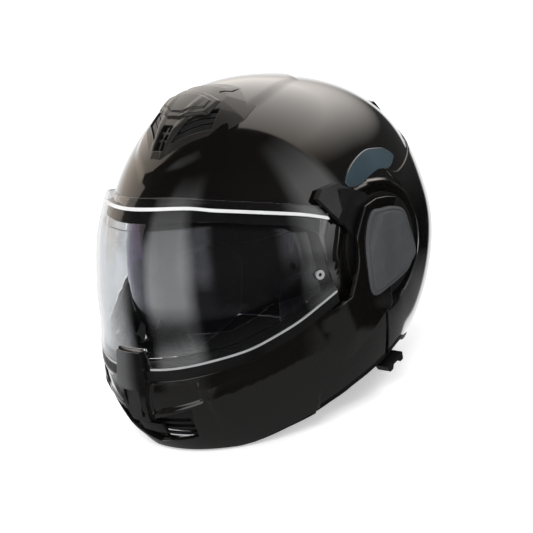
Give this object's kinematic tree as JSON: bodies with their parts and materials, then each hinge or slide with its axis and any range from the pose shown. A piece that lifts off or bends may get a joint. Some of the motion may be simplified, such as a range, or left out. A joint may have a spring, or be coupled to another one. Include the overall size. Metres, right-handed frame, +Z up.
{
  "type": "modular motorcycle helmet",
  "caption": "Full-face motorcycle helmet with a flip-up chin bar, clear face shield, drop-down sun visor, crown and chin vents and a strap buckle.",
  "frame": {"origin": "on the floor below the middle of the helmet's length and width", "axes": "+Z up, face towards -Y, wearer's left towards +X"},
  "size_m": [0.262, 0.3529, 0.2778],
  "materials": {
    "gloss_black": "deep gloss lacquer over a moulded shell",
    "gloss_black_trim": "gloss",
    "satin_black": "fine satin mould texture",
    "grey_cover": "matt",
    "smoke_trim": "translucent smoke gloss",
    "rubber": "matt",
    "foam": "beaded foam",
    "lining": "brushed knit",
    "webbing": "woven",
    "clear_shield": "polished, hard coated",
    "smoke_lens": "polished smoke tint",
    "steel": "satin",
    "red_tab": "satin"
  },
  "bodies": {
    "shell": {"outer_shell": "gloss_black", "rim_trim": "rubber", "brow_seal": "rubber", "side_crescent_left": "smoke_trim", "side_crescent_right": "smoke_trim", "side_plate_left": "satin_black", "side_plate_right": "satin_black", "side_plate_screws": "steel", "pivot_caps": "satin_black", "top_vent_scoop": "satin_black", "top_vent_louvres": "satin_black", "rear_exhaust": "satin_black", "sun_visor_bracket_left": "satin_black", "sun_visor_bracket_right": "satin_black", "foam_liner": "foam", "crown_pad": "lining", "neck_roll": "lining", "cheek_pad_left": "lining", "cheek_pad_right": "lining", "lever_guide": "satin_black", "chin_strap_left": "webbing", "chin_strap_right": "webbing", "strap_anchors": "steel", "strap_rivets": "steel", "buckle_frame": "steel", "ratchet_strip": "satin_black", "latch_strikers": "steel"},
    "chin_bar": {"chin_bar": "gloss_black", "sill_seal": "rubber", "release_housing": "gloss_black_trim", "chin_grille": "satin_black", "chin_edge_strip": "rubber", "chin_foam": "foam", "breath_guard": "rubber", "chin_curtain": "lining", "side_cover_left": "grey_cover", "side_cover_right": "grey_cover", "latch_catches": "steel"},
    "face_shield": {"face_shield": "clear_shield", "shield_arm_left": "satin_black", "shield_arm_right": "satin_black", "anti_fog_lens": "clear_shield", "lens_pins": "steel"},
    "sun_visor": {"sun_visor": "smoke_lens"},
    "sun_visor_lever": {"sun_visor_lever": "satin_black"},
    "top_vent_slider": {"top_vent_slider": "satin_black"},
    "chin_vent_shutter": {"chin_vent_shutter": "satin_black"},
    "release_button": {"release_button": "satin_black"},
    "buckle_tab": {"buckle_tab": "red_tab"}
  },
  "joints": [
    {"name": "chin_bar_flip", "type": "hinge", "parent": "shell", "child": "chin_bar", "pos_m": [0, 0.0199, 0.13084], "axis": [-1, 0, 0], "range_deg": [0, 140]},
    {"name": "shield_lift", "type": "hinge", "parent": "chin_bar", "child": "face_shield", "pos_m": [0, 0.0199, 0.13084], "axis": [-1, 0, 0], "range_deg": [0, 42]},
    {"name": "sun_visor_retract", "type": "hinge", "parent": "shell", "child": "sun_visor", "pos_m": [0, 0.00575, 0.12521], "axis": [-1, 0, 0], "range_deg": [0, 36]},
    {"name": "sun_visor_lever_slide", "type": "slide", "parent": "shell", "child": "sun_visor_lever", "axis": [0, -0.9738, -0.2276], "range_m": [0, 0.0209]},
    {"name": "top_vent_slide", "type": "slide", "parent": "shell", "child": "top_vent_slider", "axis": [0, -0.949, -0.3154], "range_m": [0, 0.006]},
    {"name": "chin_vent_slide", "type": "slide", "parent": "chin_bar", "child": "chin_vent_shutter", "axis": [1, 0, 0], "range_m": [0, 0.006]},
    {"name": "release_press", "type": "slide", "parent": "chin_bar", "child": "release_button", "axis": [0, 0.9997, -0.0262], "range_m": [0, 0.004], "stiffness_N_per_m": 600, "springref_m": -0.002},
    {"name": "buckle_tab_lift", "type": "hinge", "parent": "shell", "child": "buckle_tab", "pos_m": [0.06, -0.0291, 0.01709], "axis": [0, -0.9997, 0.0262], "range_deg": [0, 35]}
  ],
  "couplings": [
    {"joint": "sun_visor_lever_slide", "follows": "sun_visor_retract", "m_per_rad": 0.0332}
  ]
}
